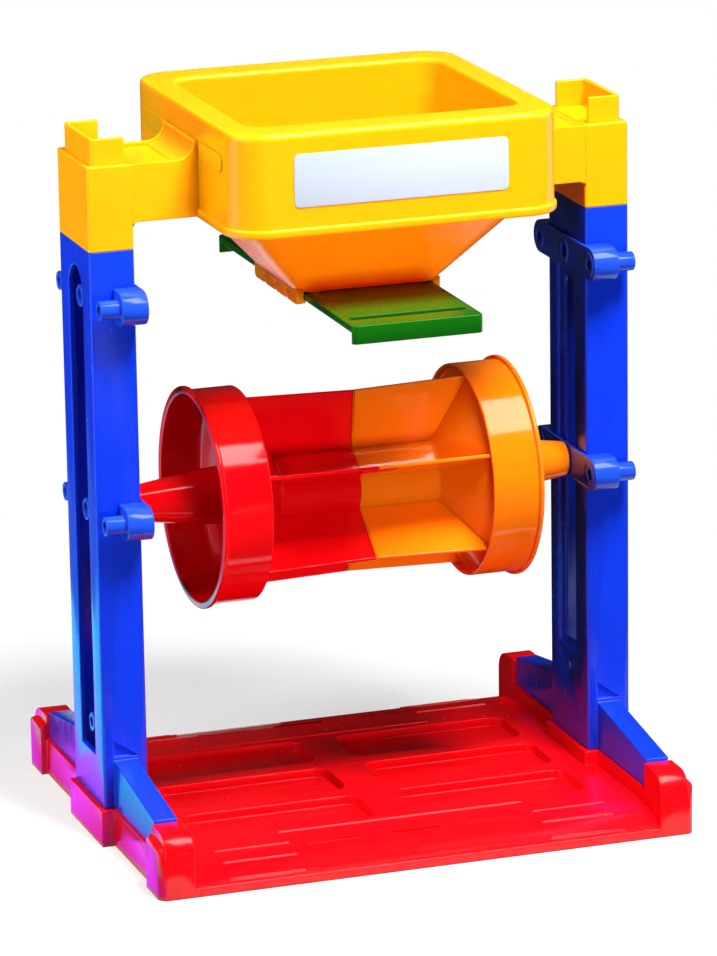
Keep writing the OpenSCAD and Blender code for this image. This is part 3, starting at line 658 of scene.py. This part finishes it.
# Rows of radius, place along the axle, and the reach of the soft corner.
section_rows = np.array([
    (0.0, STUB_END - 2 * WHEEL_WALL, 0.0),
    (STUB_TIP_R - WHEEL_WALL, STUB_END - 2 * WHEEL_WALL, 0.5),
    (STUB_ROOT_R - WHEEL_WALL, DRUM_OUT, 5.0),
    (hub_inside, web_at(HUB_R), 1.0),
    (hub_inside, JOINT, 0.3),
    (HUB_R, JOINT, 0.3),
    (HUB_R, web_at(HUB_R), 1.6),
    (drum_inside, web_at(drum_inside), 1.6),
    (drum_inside, DRUM_IN, 0.9),
    (DRUM_R, DRUM_IN, 1.0),
    (DRUM_R, DRUM_OUT - LIP_W, 0.8),
    (LIP_R, DRUM_OUT - LIP_W, 1.0),
    (LIP_R, DRUM_OUT, 1.0),
    (drum_inside, DRUM_OUT, 1.2),
    (drum_inside, web_at(drum_inside) + WHEEL_WALL, 2.4),
    (HUB_R - 0.24, web_at(HUB_R) + WHEEL_WALL, 2.4),
    (STUB_ROOT_R, DRUM_OUT, 5.0),
    (STUB_TIP_R, STUB_END, 0.9),
    (JOURNAL_R, STUB_END, 0.4),
    (JOURNAL_R, JOURNAL_END, 0.6),
    (0.0, JOURNAL_END, 0.0),
])
section = soften(section_rows[:, :2], section_rows[:, 2])
print("section", len(section), "points")

# %% Paddles and tongues
PADDLE_PHASE, PADDLE_COUNT = 22.0, 6
PADDLE_R, PADDLE_ROOT, PADDLE_T = 53.8, 55.8, 2.0
paddle_outline = soften([
    (JOINT, HUB_R - WHEEL_WALL / 2),
    (web_at(HUB_R) + WHEEL_WALL / 2, HUB_R - WHEEL_WALL / 2),
    (web_at(PADDLE_ROOT) + WHEEL_WALL / 2, PADDLE_ROOT),
    (JOINT, PADDLE_R),
], 0.25, steps=2)
TONGUE_REACH, TONGUE_TAPER = 10.0, 5.0
TONGUE_LOW, TONGUE_TIP, TONGUE_HIGH, TONGUE_T = 48.8, 51.3, 53.7, 1.2
tongue_outline = soften([
    (-TONGUE_REACH, TONGUE_LOW),
    (TONGUE_TAPER, TONGUE_LOW),
    (TONGUE_REACH, TONGUE_TIP),
    (TONGUE_REACH, TONGUE_HIGH),
    (-TONGUE_REACH, TONGUE_HIGH),
], (0.2, 1.0, 1.0, 0.6, 0.2), steps=3)


def on_wheel(shell, number):
    """Turns a plate drawn as (along the axle, outwards, thickness) to the place of a paddle:
    outwards is (-cos p, sin p) and thickness (-sin p, -cos p) in (y, z)."""
    points, faces = shell
    angle = math.radians(PADDLE_PHASE + number * 360 / PADDLE_COUNT)
    out = np.array([-math.cos(angle), math.sin(angle)])
    through = np.array([-math.sin(angle), -math.cos(angle)])
    flat = points[:, 1:2] * out + points[:, 2:3] * through
    return np.column_stack([points[:, 0], flat[:, 0], AXLE_Z + flat[:, 1]]), faces


print("paddle", len(paddle_outline), "points, tongue", len(tongue_outline), "points")

# %% The two halves
SPIGOT_BORE, SPIGOT_R, SPIGOT_ROOT_R, SPIGOT_REACH = 14.85, 17.05, 18.3, 10.0
paddle = plate(paddle_outline, -PADDLE_T / 2, PADDLE_T / 2, 0.55)
tongue = plate(tongue_outline, PADDLE_T / 2 + 0.02, PADDLE_T / 2 + TONGUE_T, 0.3)
half = [turned(section, AXLE_Z, open_ended=True)]
half += [on_wheel(paddle, k) for k in range(PADDLE_COUNT)]
spigot = np.array([
    (SPIGOT_BORE, -SPIGOT_REACH),
    (SPIGOT_ROOT_R, -SPIGOT_REACH),
    (SPIGOT_ROOT_R, -2 * JOINT),
    (SPIGOT_R, -2 * JOINT),
    (SPIGOT_R, SPIGOT_REACH),
    (SPIGOT_BORE, SPIGOT_REACH),
])
left_half = [(points * (-1, 1, 1), faces) for points, faces in half]
left_half += [turned(soften(spigot, 0.3), AXLE_Z, 96)]
left_half += [on_wheel(tongue, k) for k in range(0, PADDLE_COUNT, 2)]
moulding("wheel_right_half", half)
moulding("wheel_left_half", left_half)


# %% [markdown]
# ## The hopper
# The bowl, rim, skirt and funnel are one wall folded over at the rim. Its cross section is a
# closed line through rounded rectangles, from the outlet up the inside of the funnel, over the
# rim, down the skirt with its bead, and back under the rim along the outside of the funnel. The
# rim and the bead get generous radii, as on the real moulding. A shallow scoop is pressed into
# the funnel's lower front and back edges.

# %% Bowl, rim, skirt and funnel
RIM_Z, SKIRT_Z, OUTLET_Z, FLOOR_Z = 400.0, 344.3, 299.8, 302.8
BEAD_TOP, RIM_UNDER, SHELL_STEPS, OUTSIDE_ROW = 348.8, 397.5, 5, 12
# Rows of half x, half y, corner radius, height, and the reach of the soft corner.
shell_rows = np.array([
    (29.5, 30.0, 6.0, OUTLET_Z, 0.7),
    (29.5, 30.0, 6.0, FLOOR_Z, 0.7),
    (39.5, 36.9, 6.5, FLOOR_Z, 2.5),
    (76.5, 70.5, 13.0, SKIRT_Z, 9.0),
    (76.5, 70.5, 13.0, RIM_Z, 3.2),
    (91.5, 93.5, 20.0, RIM_Z, 4.2),
    (91.5, 93.5, 20.0, BEAD_TOP, 0.9),
    (92.8, 94.8, 21.3, BEAD_TOP, 1.6),
    (92.8, 94.8, 21.3, SKIRT_Z, 2.0),
    (89.0, 91.0, 17.5, SKIRT_Z, 1.0),
    (89.0, 91.0, 17.5, RIM_UNDER, 2.0),
    (79.0, 73.0, 15.5, RIM_UNDER, 2.0),
    (79.0, 73.0, 15.5, SKIRT_Z, 5.0),
    (50.5, 47.1, 10.5, 312.3, 0.0),
    (44.25, 41.4, 9.4, 305.3, 0.0),
    (42.0, 39.4, 9.0, FLOOR_Z, 0.0),
    (39.35, 37.0, 8.5, OUTLET_Z, 1.0),
])
shell_grid = ring_grid(soften(shell_rows[:, :4], shell_rows[:, 4], steps=SHELL_STEPS))
print("hopper wall", shell_grid.shape)

# %% The scoop in the funnel's edges
SCOOP_W, SCOOP_H, SCOOP_DEPTH, SCOOP_EDGE, SCOOP_FROM_Y = 27.0, 5.6, 1.25, 2.2, 36.0


def step_down(value, limit, width):
    """One below the limit, zero above it, with the smooth step 3s^2 - 2s^3 between."""
    s = np.clip((limit + width / 2 - value) / width, 0, 1)
    return s * s * (3 - 2 * s)


outside = np.zeros(len(shell_grid), dtype=bool)
outside[OUTSIDE_ROW * (SHELL_STEPS + 1):] = True
scoop = step_down(np.abs(shell_grid[..., 0]), SCOOP_W, SCOOP_EDGE)
scoop = scoop * step_down(shell_grid[..., 2], OUTLET_Z + SCOOP_H, SCOOP_EDGE)
scoop = scoop * (np.abs(shell_grid[..., 1]) > SCOOP_FROM_Y) * outside[:, None]
shell_grid[..., 1] -= np.sign(shell_grid[..., 1]) * SCOOP_DEPTH * scoop
hopper_shells = [sheet(shell_grid, True, True)]
print("scoop moves", int((scoop > 0).sum()), "points")

# %% [markdown]
# The arms carry the hopper on the posts. Each has a front and a back wall with a fillet up the
# skirt, a sunken deck between them, and a socket that grips the post, with a low three-sided
# wall on top where another storey is stacked. Below the outlet two lobed rails hold the gate.

# %% Arm walls and decks
SKIRT_X, POST_X, COLUMN_IN = 91.5, 140.5, 128.0
ARM_Z, ARM_TOP, SOCKET_Z = 344.7, 376.3, 330.3
ARM_HALF, CHANNEL_HALF, WALL = 28.0, 25.5, 2.5
FILLET_R, RIDGE, SINK, ROOT_R = 10.0, 2.0, 1.2, 3.0
DECK_SINK, SILL_X, LAP = 2.4, 126.75, 0.4
fillet_x, fillet_z = SKIRT_X + RIDGE + FILLET_R, ARM_TOP + FILLET_R
deck_z = ARM_TOP - DECK_SINK


def arc(centre_x, centre_z, radius, start, end, steps=12):
    """Points centre + radius (cos a, sin a) between two angles in degrees."""
    angle = np.radians(np.linspace(start, end, steps + 1))
    return np.column_stack([centre_x + radius * np.cos(angle), centre_z + radius * np.sin(angle)])


def swap(shell, order):
    """A plate's (u, v, w) put on the axes x, y, z in the order given."""
    return shell[0][:, order], shell[1]


wall_outline = np.vstack([
    [(SKIRT_X - WALL, ARM_Z)],
    arc(COLUMN_IN - ROOT_R, ARM_Z - ROOT_R, ROOT_R, 90, 10),
    [(COLUMN_IN + LAP, ARM_Z - ROOT_R), (COLUMN_IN + LAP, ARM_TOP - 0.05)],
    arc(fillet_x, fillet_z - 0.05, FILLET_R, 270, 180),
    [(SKIRT_X - WALL, fillet_z - 0.05)],
])
sunk_reach = math.degrees(math.asin(RIDGE / (FILLET_R + SINK)))
deck_outline = np.vstack([
    [(SKIRT_X - WALL, deck_z - WALL), (COLUMN_IN + LAP, deck_z - WALL)],
    [(COLUMN_IN + LAP, ARM_TOP - 0.1), (SILL_X, ARM_TOP - 0.1), (SILL_X, deck_z)],
    [(fillet_x, deck_z)],
    arc(fillet_x, fillet_z, FILLET_R + SINK, 270, 180 + sunk_reach),
    [(SKIRT_X + RIDGE + 0.2, fillet_z - RIDGE), (SKIRT_X + RIDGE, fillet_z - 0.1)],
    [(SKIRT_X - WALL, fillet_z - 0.1)],
])
front_wall = swap(plate(wall_outline, CHANNEL_HALF, ARM_HALF, 0.5), [0, 2, 1])
back_wall = (front_wall[0] * (1, -1, 1), front_wall[1])
deck = swap(plate(deck_outline, -CHANNEL_HALF - LAP, CHANNEL_HALF + LAP, 0.3), [0, 2, 1])
print("arm walls", len(wall_outline), "points, deck", len(deck_outline), "points")

# %% Sockets and stacking walls
STACK_X, STACK_Y, STACK_TOP = 9.3, 25.3, 390.6
# Rows of half x, half y, corner radius, height, and the reach of the soft corner.
socket_rows = np.array([
    (11.2, 27.2, 1.0, ARM_TOP, 0.0),
    (12.5, 28.5, 1.6, ARM_TOP, 0.9),
    (12.5, 28.5, 1.6, SOCKET_Z, 0.8),
    (10.0, 26.0, 1.6, SOCKET_Z, 0.8),
    (10.0, 26.0, 1.6, ARM_TOP - WALL, 0.8),
    (9.0, 25.0, 1.0, ARM_TOP - WALL, 0.0),
])
socket_line = soften(socket_rows[:, :4], socket_rows[:, 4])[4:-4]
socket_points, socket_faces = sheet(ring_grid(socket_line, 8, 2), False, True)
loop = len(socket_points) // len(socket_line)
socket_faces += [
    list(range(loop)), list(range(len(socket_points) - loop, len(socket_points)))]
socket = (socket_points + (POST_X, 0, 0), socket_faces)
stack_outline = soften([
    (-STACK_X, -STACK_Y), (STACK_X, -STACK_Y), (STACK_X, STACK_Y), (-STACK_X, STACK_Y),
    (-STACK_X, STACK_Y - WALL), (STACK_X - WALL, STACK_Y - WALL),
    (STACK_X - WALL, WALL - STACK_Y), (-STACK_X, WALL - STACK_Y),
], (0.7, 2.6, 2.6, 0.7, 0.7, 1.0, 1.0, 0.7)) + (POST_X, 0)
stack_wall = plate(stack_outline, ARM_TOP - 1.0, STACK_TOP, 0.6)
arm = [front_wall, back_wall, deck, socket, stack_wall]
print("arm of", len(arm), "shells")

# %% Pads and gate rails
PAD_HALF, PAD_RISE, PAD_R, PAD_Y = 20.0, 5.2, 4.0, 51.0
pad_box = np.array([(-1, -1), (1, -1), (1, 1), (-1, 1)]) * (PAD_HALF, PAD_RISE)
pad_outline = soften(pad_box, 1.8 * PAD_R, steps=6) + (PAD_Y, ARM_TOP + PAD_RISE)
pad = swap(plate(pad_outline, SKIRT_X - 1.0, SKIRT_X + 0.8, 0.5), [2, 0, 1])
RAIL_IN, RAIL_OUT, RAIL_Z, RAIL_TOP = 36.8, 40.6, 293.4, 302.3
LOBE, LOBES, LOBE_R = 18.5, 4, 3.2
PIT_Z, PIT_R, PIT_DEPTH = 298.5, 1.3, 1.9
LIP_REACH, LIP_T = 2.0, 1.95
starts = (np.arange(LOBES) - LOBES / 2) * LOBE
lobes = [
    np.vstack([
        arc(start + LOBE_R, RAIL_Z + LOBE_R, LOBE_R, 184, 270, 6),
        arc(start + LOBE - LOBE_R, RAIL_Z + LOBE_R, LOBE_R, 270, 356, 6),
    ])
    for start in starts
]
rail_outline = np.vstack(lobes + [[(LOBES / 2 * LOBE, RAIL_TOP), (-LOBES / 2 * LOBE, RAIL_TOP)]])
pits = [(start, PIT_Z, PIT_R, PIT_DEPTH) for start in starts[1:]]
rail = swap(plate(rail_outline, RAIL_IN, RAIL_OUT, 0.45, pits), [2, 0, 1])
rail_lips = [
    plate([
        (RAIL_IN - LIP_REACH, start + LOBE_R), (RAIL_IN + 0.6, start + LOBE_R),
        (RAIL_IN + 0.6, start + LOBE - LOBE_R), (RAIL_IN - LIP_REACH, start + LOBE - LOBE_R),
    ], RAIL_Z + 0.05, RAIL_Z + 0.05 + LIP_T, 0.3)
    for start in starts
]
one_side = arm + [pad, (pad[0] * (1, -1, 1), pad[1]), rail] + rail_lips
hopper_shells += one_side + [(points * (-1, 1, 1), faces) for points, faces in one_side]
moulding("hopper", hopper_shells)
